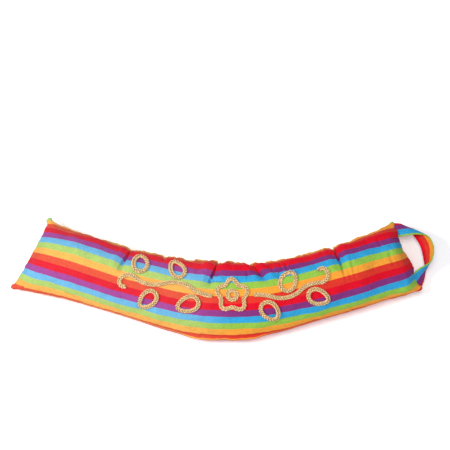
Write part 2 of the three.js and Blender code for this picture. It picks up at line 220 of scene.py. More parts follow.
# Leaves: stem, place along it, side, angle to it
LEAVES = [
    (0, 26, -1, 46), (0, 72, 1, 42), (0, 128, -1, 48), (0, 172, 1, 46),
    (1, 26, 1, 50), (1, 68, -1, 50), (1, 112, 1, 50),
]
STRANDS = 3
PLAIT_STEP = 0.8
PLAIT_PERIOD = 16.0
PLAIT_SWING = 3.1
PLAIT_LIFT = 1.5
STRAND_RADIUS = 1.7
STRAND_SIDES = 8
ROPE_SEAT = 2.9
SEAT_SMOOTHING = 8
NORMAL_SMOOTHING = 30
TAPER_LENGTH = 2.2
TAPER_LEAST = 0.35

# How open to the light a strand lies, painted into the jute's colour as shade: less where it runs under, more
# on the plait's sides
BURIED_DARK = 0.35
OUTER_OPEN = 1.15
CUT_END_OPEN = 0.7

# How far apart the strands lie in the fibre's noise, in metres
STRAND_UV_SHIFT = 3

# Stripes: six colours in turn from a boundary near the middle of the face; GREEN is the fifth
STRIPE_WIDTH = 14.8
GREEN = 4
STRIPE_START = 106.0
STRIPE_DRIFT_LEFT = 6.0
STRIPE_DRIFT_REACH = 130
BACK_STRIPE_EDGE = 301.5
BACK_REPEATS = 5
SEAM_ROLL = 3.0
STRIPE_COLOURS = [
    (0.66, 0.036, 0.022), (0.68, 0.004, 0.020), (0.21, 0.032, 0.19),
    (0.030, 0.34, 0.66), (0.27, 0.50, 0.065), (0.82, 0.33, 0.040),
]
# The same colours paler and lighter: painted light over the cushion's left half
PAINTED_LIGHT_COLOURS = [
    (0.66, 0.085, 0.045), (0.64, 0.018, 0.034), (0.33, 0.064, 0.29),
    (0.145, 0.42, 0.68), (0.38, 0.54, 0.145), (0.80, 0.40, 0.090),
]
PAINTED_LIGHT_FROM = 50.0
PAINTED_LIGHT_TO = -70.0

# Where the back bulges past the near seam, on the outside of the bend: place, half width, reach
BULGES = [(-22, 36, 6.5), (52, 36, 6.5)]
BULGE_DEPTH = (4.0, 34.0)

# Roll of filling along the far edge of the face, right of the left end: height, where across, half width
ROLL = (3.8, 32.0, 10.0)
ROLL_FROM = (-340.0, -250.0)

# Ears at the corners: end, seam (far 0, near 1), lump's height, and its shift of the stripes
EARS = [(0, 0, 4.8, -21.0), (0, 1, 3.2, 4.0), (1, 0, 2.4, -4.0), (1, 1, 3.6, 4.0)]
EAR_PLACE = 7.0
EAR_SIZE = 6.0

# Waves of the seam across the right end: where across, half width, how far out, how far across
END_SEAM_WAVES = [(82, 15, -1.5, 0), (128, 27, 6.0, 0), (198, 18, 3.5, 5.0)]
END_SEAM_FADE = 45.0

# The cushion's shape


def smoothstep(x, low, high):
    t = np.clip((x - low) / (high - low), 0, 1)
    return t * t * (3 - 2 * t)


def unit(vectors):
    return vectors / np.maximum(np.linalg.norm(vectors, axis=-1, keepdims=True), TINY)


def read_table(column, along):
    """Smooth value of a column of SECTIONS at places along the cushion."""
    rows = np.array(SECTIONS, dtype=float)
    at, value = rows[:, 0], rows[:, SECTION_COLUMNS.index(column)]
    rise = np.diff(value) / np.diff(at)
    slope = np.empty(len(at))
    slope[0], slope[-1] = rise[0], rise[-1]
    before, after = rise[:-1], rise[1:]
    total = np.where(before + after == 0, 1, before + after)
    slope[1:-1] = np.where(before * after <= 0, 0, 2 * before * after / total)
    place = np.clip(along, at[0], at[-1])
    i = np.clip(np.searchsorted(at, place, side="right") - 1, 0, len(at) - 2)
    span = at[i + 1] - at[i]
    t = (place - at[i]) / span
    return (
        (2 * t**3 - 3 * t**2 + 1) * value[i] + (t**3 - 2 * t**2 + t) * span * slope[i]
        + (3 * t**2 - 2 * t**3) * value[i + 1] + (t**3 - t**2) * span * slope[i + 1]
    )


def middle_line(along):
    """Point and heading of the middle line in plan."""
    radius = BEND_LENGTH / (HEADING_RIGHT - HEADING_LEFT)

    def heading_at(s):
        return HEADING_LEFT + np.clip(s - BEND_START, 0, BEND_LENGTH) / radius

    heading, zero = heading_at(along), heading_at(0.0)
    straight = np.minimum(along - BEND_START, 0) + np.maximum(along - BEND_START - BEND_LENGTH, 0)
    x = radius * (np.sin(heading) - np.sin(zero)) + straight * np.cos(heading)
    y = radius * (np.cos(zero) - np.cos(heading)) + straight * np.sin(heading)
    return x, y, heading


def rest_on_floor(z):
    soft = (z + FLOOR_ROUNDING) ** 2 / (4 * FLOOR_ROUNDING)
    return np.where(z > FLOOR_ROUNDING, z, np.where(z < -FLOOR_ROUNDING, 0, soft))


def section_points(along, share, front):
    """Cross-section points (y, z) at places along (n) and shares of the panel (m): two n x m arrays."""
    angle = np.pi * np.arange(ARCH_SAMPLES + 1) / ARCH_SAMPLES
    half = read_table("half", along)[:, None]
    swell = read_table("crown", along) if front else -read_table("belly", along)
    seam = read_table("seam", along)[:, None]
    y = half * np.cos(angle)[None, :]
    far_arch, near_arch, back_arch = (
        read_table(column, along)[:, None] for column in ("far_arch", "near_arch", "back_arch")
    )
    power = np.where(y > 0, far_arch, near_arch) if front else back_arch
    arch = np.maximum(np.sin(angle), 0)[None, :] ** power
    z = rest_on_floor(seam + SIDE_TILT * y + swell[:, None] * arch)
    step = np.hypot(np.diff(y, axis=1), np.diff(z, axis=1))
    length = np.concatenate([np.zeros((len(along), 1)), np.cumsum(step, axis=1)], axis=1)
    out_y = np.empty((len(along), len(share)))
    out_z = np.empty_like(out_y)
    for i in range(len(along)):
        wanted = share * length[i, -1]
        out_y[i] = np.interp(wanted, length[i], y[i])
        out_z[i] = np.interp(wanted, length[i], z[i])
    return out_y, out_z


def crease_depth(along, across, front):
    depth = 0
    for at, slant, start, stop, deep, width in CREASES:
        away = (along - at - slant * across) / width
        rise = smoothstep(across, start, start + CREASE_FADE) if start > 0 else 1
        end = stop if front else CREASE_FADE_BACK
        fall = 1 - smoothstep(across, end - CREASE_FADE, end)
        on_back = 0 if not front and start > 0 else 1
        trough = np.exp(-away**2) - PUFF * np.exp(-((np.abs(away) - PUFF_PLACE) ** 2))
        depth = depth + deep * trough * rise * fall * on_back
    return depth


def cover_points(along, share, front):
    """Points of the cover in millimetres about the bend's middle: an n x m x 3 array."""
    y, z = section_points(along, share, front)
    half = read_table("half", along)[:, None]
    crown = read_table("crown", along)[:, None]
    seam = read_table("seam", along)[:, None]
    s = np.broadcast_to(along[:, None], y.shape)
    u = y / half
    depth = crease_depth(s, np.broadcast_to(share * PANEL_WIDTH, y.shape), front)
    outward_y = u / half
    outward_z = (z - seam - SIDE_TILT * y) / np.maximum(crown, 1) ** 2
    length = np.hypot(outward_y, outward_z)
    length = np.where(length == 0, 1, length)
    creased_y = y - depth * outward_y / length
    creased_z = z - np.where(z > 0, depth * outward_z / length, 0)
    to_end = np.where(s < 0, s - END_LEFT, END_RIGHT - s)
    ramp = np.clip(1 - to_end / END_REACH, 0, 1) ** 2
    skew = np.where(s < 0, SKEW_LEFT, SKEW_RIGHT)
    ear = np.where(s < 0, EAR_REACH_LEFT, EAR_REACH_RIGHT)
    reach = ramp * (-skew * y + ear * (np.abs(u) ** 3 - EAR_INSET))
    x0, y0, heading = middle_line(s + np.sign(s) * reach)
    offset = creased_y + read_table("drift", along)[:, None]
    bow = np.where(z > 0, SEAM_BOW * ramp * (1 - u * u), 0)
    return np.stack([
        x0 - np.sin(heading) * offset, y0 + np.cos(heading) * offset, np.maximum(creased_z + bow, 0),
    ], axis=-1)


def grid_normals(points, sign):
    """Unit normals of an n x m grid of points."""
    du = np.gradient(points, axis=0)
    dv = np.gradient(points, axis=1)
    return unit(sign * np.cross(dv, du))


def fold_height(along, across):
    """Fine folds of the face, as a height over the smooth cloth."""
    height = 0
    for x0, y0, x1, y1, deep, width, lip in FOLDS:
        dx, dy = x1 - x0, y1 - y0
        run = math.hypot(dx, dy)
        t = ((along - x0) * dx + (across - y0) * dy) / run**2
        away = ((along - x0) * dy - (across - y0) * dx) / run / width
        fade = smoothstep(t, *FOLD_RISE) * (1 - smoothstep(t, *FOLD_FALL))
        valley = -np.exp(-away**2)
        rims = sum(size * np.exp(-((away - place) ** 2)) for place, size in FOLD_LIPS)
        lips = lip * FOLD_LIP_SHARE * rims
        height = height + FOLD_SCALE * deep * fade * (valley + lips)
    return height


def seam_height(along, across):
    """Puckers and the groove beside the seams that run along the cushion and across its ends."""
    waves = sum(high * np.sin(2 * np.pi * along / length + phase) for length, high, phase in PUCKERS)
    waves_across = sum(high * np.sin(2 * np.pi * across / length + phase) for length, high, phase in PUCKERS)
    near, far = PANEL_WIDTH - across, across
    to_end = np.minimum(along - END_LEFT, END_RIGHT - along)
    inside = np.exp(-(((along - BEND_PUCKERS_AT) / BEND_PUCKERS_HALF) ** 2))
    height = waves * (1 + BEND_PUCKERS * inside) * np.exp(-far / PUCKER_REACH)
    height = height + NEAR_PUCKERS * waves * np.exp(-near / PUCKER_REACH)
    height = height + END_PUCKERS * waves_across * np.exp(-to_end / PUCKER_REACH)
    edge = np.minimum(np.minimum(near, far), to_end)
    return height - SEAM_GROOVE * np.exp(-((edge / SEAM_GROOVE_WIDTH) ** 2))


def lump_height(along, across):
    return sum(
        high * np.sin(2 * np.pi * along / a + p) * np.sin(2 * np.pi * across / b + q)
        for a, b, high, p, q in LUMPS
    )


def bulge_height(along, across):
    """How far the back swells past the near seam on the outside of the bend."""
    under = PANEL_WIDTH - across
    swell = sum(reach * np.exp(-(((along - at) / half) ** 4)) for at, half, reach in BULGES)
    near_seam, far_end = BULGE_DEPTH
    return swell * smoothstep(under, 0, near_seam) * (1 - smoothstep(under, near_seam, far_end))


def roll_height(along, across):
    height, place, half = ROLL
    return height * smoothstep(along, *ROLL_FROM) * np.exp(-(((across - place) / half) ** 2))


def ear_shape(along, across):
    """Lumps at the four corners, as a height and as a shift of the stripes."""
    height, shift = 0, 0
    for end, seam, lump, stripes in EARS:
        corner = (END_LEFT, END_RIGHT)[end], PANEL_WIDTH * seam
        away = np.hypot(along - corner[0], across - corner[1])
        height = height + lump * np.exp(-(((away - EAR_PLACE) / EAR_SIZE) ** 2))
        shift = shift + stripes * np.exp(-((away / (EAR_PLACE + EAR_SIZE)) ** 2))
    return height, shift


def shares(count):
    """Shares of the panel's width, closer together near the seams."""
    t = np.arange(count + 1) / count
    return t - SEAM_CROWDING * np.sin(2 * np.pi * t) / (2 * np.pi)


def right_end_directions():
    """Unit vectors out of the right end and towards its far side."""
    heading = float(middle_line(END_RIGHT)[2])
    out = np.array([math.cos(heading), math.sin(heading), 0])
    return out, np.array([-math.sin(heading), math.cos(heading), 0])


def end_seam_waves(across):
    """How far the seam of the right end strays from its smooth line, as plan vectors."""
    out, farther = right_end_directions()
    waves = 0
    for at, half, reach, sideways in END_SEAM_WAVES:
        waves = waves + np.exp(-(((across - at) / half) ** 2))[:, None] * (out * reach + farther * sideways)
    return waves


def fine_panel(front):
    """Points, normals and cloth coordinates of one panel on the fine grid."""
    along = END_LEFT + (END_RIGHT - END_LEFT) * np.arange(FINE_GRID[0] + 1) / FINE_GRID[0]
    share = shares(FINE_GRID[1])
    points = cover_points(along, share, front)
    fade = smoothstep(along, END_RIGHT - END_SEAM_FADE, END_RIGHT)[:, None, None]
    points = points + fade * end_seam_waves(share * PANEL_WIDTH)
    normal = grid_normals(points, 1 if front else -1)
    s, v = np.meshgrid(along, share * PANEL_WIDTH, indexing="ij")
    return {"along": along, "share": share, "points": points, "normal": normal, "s": s, "v": v}


# The solids stand with their box about the origin: the same shift for the fine shape
coarse = [
    cover_points(np.linspace(END_LEFT, END_RIGHT, COARSE_GRID[0] + 1),
                 np.linspace(0, 1, COARSE_GRID[1] + 1), front)
    for front in (True, False)
]
coarse = np.concatenate([c.reshape(-1, 3) for c in coarse])
cover_low, cover_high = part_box("cover")
SHIFT = (np.array(cover_low) + np.array(cover_high)) / 2 / MM - (coarse.min(0) + coarse.max(0)) / 2
SHIFT[2] = 0

face, back = fine_panel(True), fine_panel(False)
edge_normal = unit(face["normal"] + back["normal"])
on_edge = np.zeros(face["s"].shape, dtype=bool)
on_edge[0], on_edge[-1], on_edge[:, 0], on_edge[:, -1] = True, True, True, True
for panel, is_face in ((face, True), (back, False)):
    panel["normal"][on_edge] = edge_normal[on_edge]
    height = seam_height(panel["s"], panel["v"]) + ear_shape(panel["s"], panel["v"])[0]
    off_floor = smoothstep(panel["points"][..., 2], *FLOOR_FADE)
    if is_face:
        to_end = np.minimum(panel["s"] - END_LEFT, END_RIGHT - panel["s"])
        lumps = lump_height(panel["s"], panel["v"]) * smoothstep(to_end, *LUMP_FADE)
        height = height + fold_height(panel["s"], panel["v"]) + lumps + roll_height(panel["s"], panel["v"])
    else:
        height = height + bulge_height(panel["s"], panel["v"])
    panel["points"] = panel["points"] + panel["normal"] * (height * off_floor)[..., None]
    panel["points"][..., 2] = np.maximum(panel["points"][..., 2], 0)
back["points"][on_edge] = face["points"][on_edge]


def new_object(name, points, faces, loop_uv, material, exposure=None):
    """Mesh object in metres from points in millimetres about the bend's middle."""
    mesh = bpy.data.meshes.new(name)
    mesh.from_pydata(((points + SHIFT) * MM).tolist(), [], faces)
    layer = mesh.uv_layers.new(name="cloth")
    layer.data.foreach_set("uv", np.asarray(loop_uv, dtype=np.float32).ravel())
    # The exposure layer carries the rope's painted shade, one value per face corner
    if exposure is not None:
        layer = mesh.uv_layers.new(name="exposure")
        pairs = np.stack([exposure, np.zeros(len(exposure))], axis=-1)
        layer.data.foreach_set("uv", pairs.astype(np.float32).ravel())
    mesh.polygons.foreach_set("use_smooth", np.ones(len(mesh.polygons), dtype=bool))
    mesh.materials.append(material)
    mesh.update()
    thing = bpy.data.objects.new(name, mesh)
    bpy.context.scene.collection.objects.link(thing)
    return thing


def grid_quads(index, flip):
    a, b, c, d = index[:-1, :-1], index[1:, :-1], index[1:, 1:], index[:-1, 1:]
    order = (a, d, c, b) if flip else (a, b, c, d)
    return np.stack([corner.ravel() for corner in order], axis=-1)


# Materials, in metres
SPECULAR = 0.1
THREAD = 0.00062
WEFT_TO_WARP = 0.9
WEAVE_RELIEF = 0.16
WEAVE_SHADE = 0.05
SHADE_BASE = 0.46
STRIPE_WANDER = 0.0007
WANDER_SCALE = (900, 60, 1)

# Noise in the cloth's relief, then in its shade: scale, detail, turn, and weight in the sum
SLUB = ((70, 1500, 1), 2.0, 0.0, 0.35)
UNEVEN = ((210, 150, 1), 4.0, 0.6, 2.0)
RUMPLE = ((60, 22, 1), 2.0, 0.2, 3.4)
WARP = ((60, 2200, 1), 2.0, 0.0, 0.16)
WEFT = ((1500, 90, 1), 2.0, 0.0, 0.22)
MOTTLE = ((190, 240, 1), 4.0, 0.9, 0.44)
PATCHES = ((55, 45, 1), 4.0, 0.0, 0.26)

# Jute: yarn twist, and noise of the fibres and of larger patches
YARN_PITCH = 0.0045
YARNS_ACROSS = 6
YARN_RELIEF = 0.5
FIBRE_RELIEF = 1.2
FIBRE_SCALE = (900, 26, 1)
FIBRE_SHADE = 0.6
JUTE_PATCH_SCALE = (150, 1, 1)
JUTE_PATCH_SHADE = 0.5

# Where jute's two colours stand in its mixed noise, and its painted shade, as brightness from buried to open
JUTE_COLOURS = [(0.28, (0.26, 0.14, 0.05)), (0.66, (0.97, 0.67, 0.33))]
OPEN_RANGE = (0.3, 0.95)
OPEN_VALUES = (0.06, 1.12)


def shader(name, roughness, sheen, sheen_roughness):
    """A new material, its node tree and its principled shader."""
    material = bpy.data.materials.new(name)
    material.use_nodes = True
    tree = material.node_tree
    surface = tree.nodes["Principled BSDF"]
    surface.inputs["Roughness"].default_value = roughness
    surface.inputs["Sheen Weight"].default_value = sheen
    surface.inputs["Sheen Roughness"].default_value = sheen_roughness
    surface.inputs["Specular IOR Level"].default_value = SPECULAR
    return material, tree, surface


def node(tree, kind, values=None, **settings):
    made = tree.nodes.new("ShaderNode" + kind)
    for key, value in settings.items():
        setattr(made, key, value)
    for key, value in (values or {}).items():
        if isinstance(value, bpy.types.NodeSocket):
            tree.links.new(value, made.inputs[key])
        else:
            made.inputs[key].default_value = value
    return made


def maths(tree, operation, a, b=0.0, c=0.0):
    return node(tree, "Math", {0: a, 1: b, 2: c}, operation=operation).outputs[0]


def scaled_noise(tree, coordinates, scale, detail=2.0, turn=0.0):
    stretched = node(
        tree, "Mapping", {"Vector": coordinates, "Scale": scale, "Rotation": (0, 0, turn)}
    ).outputs[0]
    return node(tree, "TexNoise", {"Vector": stretched, "Scale": 1.0, "Detail": detail}).outputs["Fac"]


def add_noises(tree, coordinates, total, noises):
    """The total with each noise added by its weight."""
    for scale, detail, turn, weight in noises:
        noise = scaled_noise(tree, coordinates, scale, detail, turn)
        total = maths(tree, "MULTIPLY_ADD", noise, weight, total)
    return total


def weave_bump(tree, u, v, coordinates, surface):
    """Plain weave at thread size with thick and thin yarns, and the handled cloth's soft unevenness."""
    wave_u = maths(tree, "SINE", maths(tree, "MULTIPLY", u, 2 * math.pi / THREAD))
    wave_v = maths(tree, "SINE", maths(tree, "MULTIPLY", v, 2 * math.pi / (THREAD * WEFT_TO_WARP)))
    weave = maths(tree, "MULTIPLY", wave_u, wave_v)
    height = add_noises(tree, coordinates, 0.0, [SLUB])
    height = maths(tree, "MULTIPLY_ADD", weave, WEAVE_RELIEF, height)
    height = add_noises(tree, coordinates, height, [UNEVEN, RUMPLE])
    bump = node(tree, "Bump", {"Height": height, "Strength": 0.8, "Distance": 0.0007})
    tree.links.new(bump.outputs[0], surface.inputs["Normal"])
    return weave


def stripe_ramp(tree, turn, colours):
    ramp = node(tree, "ValToRGB", {"Fac": turn})
    ramp.color_ramp.interpolation = "CONSTANT"
    steps = ramp.color_ramp.elements
    while len(steps) < len(colours):
        steps.new(0.5)
    for i, colour in enumerate(colours):
        steps[i].position = i / len(colours)
        steps[i].color = (*colour, 1)
    return ramp.outputs[0]


def striped_cotton(name, start, painted_light_left):
    """Woven stripes across v from start, in metres; the last argument mixes in paler colours along u, painted
    light over the left half.
    """
    material, tree, surface = shader(name, roughness=0.92, sheen=0.03, sheen_roughness=0.4)
    coordinates = node(tree, "UVMap", uv_map="cloth").outputs[0]
    split = node(tree, "SeparateXYZ", {"Vector": coordinates})
    u, v = split.outputs[0], split.outputs[1]
    wander = scaled_noise(tree, coordinates, WANDER_SCALE)
    edge = maths(tree, "MULTIPLY_ADD", wander, STRIPE_WANDER, v)
    repeat = STRIPE_WIDTH * MM * len(STRIPE_COLOURS)
    past_start = maths(tree, "SUBTRACT", edge, start + STRIPE_WANDER / 2)
    turn = maths(tree, "FRACT", maths(tree, "DIVIDE", past_start, repeat))
    colour = stripe_ramp(tree, turn, STRIPE_COLOURS)
    # Painted light: paler, lighter colours mixed in along u towards the left end
    if painted_light_left:
        along = node(
            tree, "MapRange", {"Value": u, "From Min": PAINTED_LIGHT_FROM * MM, "From Max": PAINTED_LIGHT_TO * MM},
            interpolation_type="SMOOTHSTEP",
        ).outputs[0]
        pale = stripe_ramp(tree, turn, PAINTED_LIGHT_COLOURS)
        colour = node(tree, "Mix", {0: along, 6: colour, 7: pale}, data_type="RGBA").outputs[2]
    weave = weave_bump(tree, u, v, coordinates, surface)
    shade = add_noises(tree, coordinates, 0.0, [WEFT, WARP, MOTTLE, PATCHES])
    shade = maths(tree, "MULTIPLY_ADD", weave, WEAVE_SHADE, shade)
    value = maths(tree, "ADD", shade, SHADE_BASE)
    tinted = node(tree, "HueSaturation", {"Color": colour, "Value": value})
    tree.links.new(tinted.outputs[0], surface.inputs["Base Color"])
    return material


def jute():
    """Dry plaited fibre: yarn twist across each strand, lighter and darker fibres, and painted shade between
    strands and where they run under.
    """
    material, tree, surface = shader("jute", roughness=0.9, sheen=0.08, sheen_roughness=0.5)
    coordinates = node(tree, "UVMap", uv_map="cloth").outputs[0]
    split = node(tree, "SeparateXYZ", {"Vector": coordinates})
    u, v = split.outputs[0], split.outputs[1]
    along = maths(tree, "MULTIPLY", u, 2 * math.pi / YARN_PITCH)
    around = maths(tree, "MULTIPLY", v, 2 * math.pi * YARNS_ACROSS)
    yarn = maths(tree, "SINE", maths(tree, "ADD", along, around))
    fibre = scaled_noise(tree, coordinates, FIBRE_SCALE, detail=4.0)
    patches = scaled_noise(tree, coordinates, JUTE_PATCH_SCALE, detail=2.0)
    height = maths(tree, "MULTIPLY_ADD", fibre, FIBRE_RELIEF, maths(tree, "MULTIPLY", yarn, YARN_RELIEF))
    bump = node(tree, "Bump", {"Height": height, "Strength": 0.8, "Distance": 0.0004})
    tree.links.new(bump.outputs[0], surface.inputs["Normal"])
    patched = maths(tree, "MULTIPLY", patches, JUTE_PATCH_SHADE)
    mix = maths(tree, "MULTIPLY_ADD", fibre, FIBRE_SHADE, patched)
    ramp = node(tree, "ValToRGB", {"Fac": mix})
    for step, (position, colour) in zip(ramp.color_ramp.elements, JUTE_COLOURS):
        step.position, step.color = position, (*colour, 1)
    # Painted shade: the colour darkens where a strand is buried, faces down or lies between strands
    exposure_uv = node(tree, "UVMap", uv_map="exposure").outputs[0]
    exposure = node(tree, "SeparateXYZ", {"Vector": exposure_uv}).outputs[0]
    crevice_shade = node(
        tree, "MapRange",
        {"Value": exposure, "From Min": OPEN_RANGE[0], "From Max": OPEN_RANGE[1],
         "To Min": OPEN_VALUES[0], "To Max": OPEN_VALUES[1]},
        interpolation_type="SMOOTHSTEP",
    ).outputs[0]
    shaded_jute = node(tree, "HueSaturation", {"Color": ramp.outputs[0], "Value": crevice_shade})
    tree.links.new(shaded_jute.outputs[0], surface.inputs["Base Color"])
    return material


cotton = striped_cotton("striped cotton", STRIPE_START * MM, True)
rope_fibre = jute()

# Cover


def cloth_uv(panel, corners, is_face):
    """Cloth coordinates at each quad's corners; beside the near seam the back goes on from the face."""
    s, v = panel["s"].ravel()[corners], panel["v"].ravel()[corners]
    drift = STRIPE_DRIFT_LEFT * (1 - smoothstep(s, END_LEFT, END_LEFT + STRIPE_DRIFT_REACH))
    across = v + (drift + ear_shape(s, v)[1])
    if not is_face:
        rolled = PANEL_WIDTH - v.mean(axis=1, keepdims=True) < SEAM_ROLL
        whole_turns = len(STRIPE_COLOURS) * STRIPE_WIDTH * BACK_REPEATS
        across = np.where(rolled, 2 * PANEL_WIDTH - v, BACK_STRIPE_EDGE - v + whole_turns)
    return np.stack([s, across], axis=-1).reshape(-1, 2) * MM


columns, rows = FINE_GRID[0] + 1, FINE_GRID[1] + 1
face_index = np.arange(columns * rows).reshape(columns, rows)
back_index = face_index.copy()
back_index[~on_edge] = columns * rows + np.arange((~on_edge).sum())
points = np.concatenate([face["points"].reshape(-1, 3), back["points"][~on_edge]])
quads, uvs = [], []
for panel, index, is_face in ((face, face_index, True), (back, back_index, False)):
    quads.append(grid_quads(index, is_face))
    uvs.append(cloth_uv(panel, grid_quads(face_index, is_face), is_face))
cover = new_object("cushion_cover", points, np.concatenate(quads).tolist(), np.concatenate(uvs), cotton)

# Curves
CENTRIPETAL = 0.25
UNIFORM = 0
SHORTEST_SPAN = 1e-4
TANGENT_STEP = 1e-4
GRID_MARGIN = 1.001


def spline(points, t, tight):
    """Catmull-Rom curve through points at t from 0 to 1; tight is CENTRIPETAL or UNIFORM."""
    points = np.asarray(points, dtype=float)
    padded = np.vstack([2 * points[0] - points[1], points, 2 * points[-1] - points[-2]])
    place = np.clip(t, 0, 1) * (len(points) - 1)
    i = np.minimum(place.astype(int), len(points) - 2)
    w = (place - i)[:, None]
    p0, p1, p2, p3 = (padded[i + k] for k in range(4))
    if tight:
        d0, d1, d2 = (
            np.maximum(np.sum((b - a) ** 2, axis=1, keepdims=True) ** tight, SHORTEST_SPAN)
            for a, b in ((p0, p1), (p1, p2), (p2, p3))
        )
        m1 = ((p1 - p0) / d0 - (p2 - p0) / (d0 + d1) + (p2 - p1) / d1) * d1
        m2 = ((p2 - p1) / d1 - (p3 - p1) / (d1 + d2) + (p3 - p2) / d2) * d1
    else:
        m1, m2 = (p2 - p0) / 2, (p3 - p1) / 2
    return (
        p1 + m1 * w + (-3 * p1 + 3 * p2 - 2 * m1 - m2) * w**2 + (2 * p1 - 2 * p2 + m1 + m2) * w**3
    )


def look_up(grid, along, share):
    """Value of a face grid at places along and shares, between its points."""
    i = (along - END_LEFT) / (END_RIGHT - END_LEFT) * FINE_GRID[0]
    j = np.interp(share, face["share"], np.arange(rows))
    i, j = np.clip(i, 0, columns - GRID_MARGIN), np.clip(j, 0, rows - GRID_MARGIN)
    i0, j0 = i.astype(int), j.astype(int)
    a, b = (i - i0)[:, None], (j - j0)[:, None]
    return (
        grid[i0, j0] * (1 - a) * (1 - b) + grid[i0 + 1, j0] * a * (1 - b)
        + grid[i0, j0 + 1] * (1 - a) * b + grid[i0 + 1, j0 + 1] * a * b
    )


# Carry strap. Its near edge is green on both faces: the outer face ends in green, and the inner
# face goes on from there
OUTER_START = STRAP_WIDTH / 2 - STRAP_EDGE_STRIPE - GREEN * STRIPE_WIDTH
INNER_START = STRAP_WIDTH / 2 - STRAP_INNER_EDGE_STRIPE + OUTER_START + (GREEN + 1) * STRIPE_WIDTH


def strap_stations():
    """Places on the strap's middle line: centre, lean of its width, width and bulge."""
    out, farther = right_end_directions()
    up = np.array([0, 0, 1.0])
    end = np.array([END_RIGHT])
    seam_middle = cover_points(end, np.array([0.5]), True)[0, 0] * (1, 1, 0)
    half_share = STRAP_WIDTH / 2 / PANEL_WIDTH

    def seam_end(share, direction):
        ends = np.array([share - direction * half_share, share + direction * half_share])
        start, stop = cover_points(end, ends, True)[0]
        centre = (start + stop) / 2 - out * STRAP_TUCK
        return centre, unit(stop - start), np.linalg.norm(stop - start), 0.0

    stations = [seam_end(STRAP_FAR_END, 1)]
    for a, b, c, lean_out, lean_across, lean_up, bulge in STRAP_ROWS:
        centre = seam_middle + out * a + farther * b + up * c
        lean = unit(out * lean_out + farther * lean_across + up * lean_up)
        stations.append((centre, lean, STRAP_WIDTH, float(bulge)))
    stations.append(seam_end(STRAP_NEAR_END, -1))
    return stations


def make_strap(material):
    stations = strap_stations()
    steps, sides = STRAP_GRID
    t = np.linspace(0, 1, steps + 1)
    centres = [s[0] for s in stations]
    centre = spline(centres, t, CENTRIPETAL)
    before, after = np.maximum(t - TANGENT_STEP, 0), np.minimum(t + TANGENT_STEP, 1)
    tangent = unit(spline(centres, after, CENTRIPETAL) - spline(centres, before, CENTRIPETAL))
    lean = unit(spline([s[1] for s in stations], t, UNIFORM))
    knots = np.linspace(0, 1, len(stations))
    width = np.interp(t, knots, [s[2] for s in stations])
    bulge = np.interp(t, knots, [s[3] for s in stations])
    outward = unit(np.cross(lean, tangent))
    share = np.linspace(-0.5, 0.5, sides + 1)
    run = np.concatenate([[0], np.cumsum(np.linalg.norm(np.diff(centre, axis=0), axis=1))])
    s_grid, w_grid = np.meshgrid(run, share, indexing="ij")
    mid = (
        centre[:, None] + lean[:, None] * (share[None, :] * width[:, None])[..., None]
        + outward[:, None] * (bulge[:, None] * (1 - 4 * share[None, :] ** 2))[..., None]
    )
    layer = unit(np.cross(np.gradient(mid, axis=1), np.gradient(mid, axis=0)))
    edge = (0.5 - np.abs(share)) * STRAP_WIDTH
    thick = STRAP_THICKNESS / 2 * np.sqrt(1 - (1 - np.clip(edge / STRAP_EDGE_ROUNDING, 0, 1)) ** 2)
    thick = thick - STITCH_DEPTH * np.exp(-(((edge - STITCH_INSET) / STITCH_WIDTH) ** 2))
    short, long = STRAP_RIPPLE_LENGTHS
    ripple = (
        STRAP_RIPPLE * np.sin(s_grid / short + STRAP_RIPPLE_PHASE) * np.sin(s_grid / long)
        * np.cos(w_grid * STRAP_RIPPLE_ACROSS)
    )
    outer = mid + layer * (thick[None, :, None] + ripple[..., None])
    inner = mid + layer * (-thick[None, :, None] + ripple[..., None])
    n, m = outer.shape[:2]
    outer_index = np.arange(n * m).reshape(n, m)
    inner_index = outer_index.copy()
    inner_index[:, 1:-1] = n * m + np.arange(n * (m - 2)).reshape(n, m - 2)
    flat_uv = np.stack([s_grid, w_grid * STRAP_WIDTH], axis=-1) * MM
    inner_uv = flat_uv * (1, -1) + (0, INNER_START * MM)
    both = np.concatenate([outer.reshape(-1, 3), inner[:, 1:-1].reshape(-1, 3)])
    outer_quads, inner_quads = grid_quads(outer_index, True), grid_quads(inner_index, False)
    faces = outer_quads.tolist() + inner_quads.tolist()
    uv = np.concatenate([
        flat_uv.reshape(-1, 2)[outer_quads].reshape(-1, 2),
        inner_uv.reshape(-1, 2)[grid_quads(outer_index, False)].reshape(-1, 2),
    ]).tolist()
    for end in (0, n - 1):
        ring = outer_index[end].tolist() + inner_index[end, 1:-1][::-1].tolist()
        ring = ring if end else ring[::-1]
        faces.append(ring)
        uv += [(0, 0)] * len(ring)
    return new_object("carry_strap_band", both, faces, uv, material)


strap = make_strap(striped_cotton("strap cotton", OUTER_START * MM, False))

# Rope work


def round_half_up(value):
    return math.floor(value + 0.5)


def path_direction(points, closed):
    if closed:
        return unit(np.roll(points, -1, axis=0) - np.roll(points, 1, axis=0))
    return unit(np.gradient(points, axis=0))


def arc_path(along, across, heading, runs, step):
    """Points along a path of arcs in the plan of the face: (along, across, angle)."""
    angle = math.radians(heading)
    points = [(along, across, angle)]
    for length, turn in runs:
        coarse_steps = max(round_half_up(length / CAD_ROPE_STEP), LEAST_ARC_STEPS)
        count = coarse_steps * max(round(CAD_ROPE_STEP / step), 1)
        half = math.radians(turn) / count / 2
        for _ in range(count):
            last = points[-1]
            points.append((
                last[0] + math.cos(angle + half) * length / count,
                last[1] + math.sin(angle + half) * length / count,
                angle + 2 * half,
            ))
            angle += 2 * half
    return points


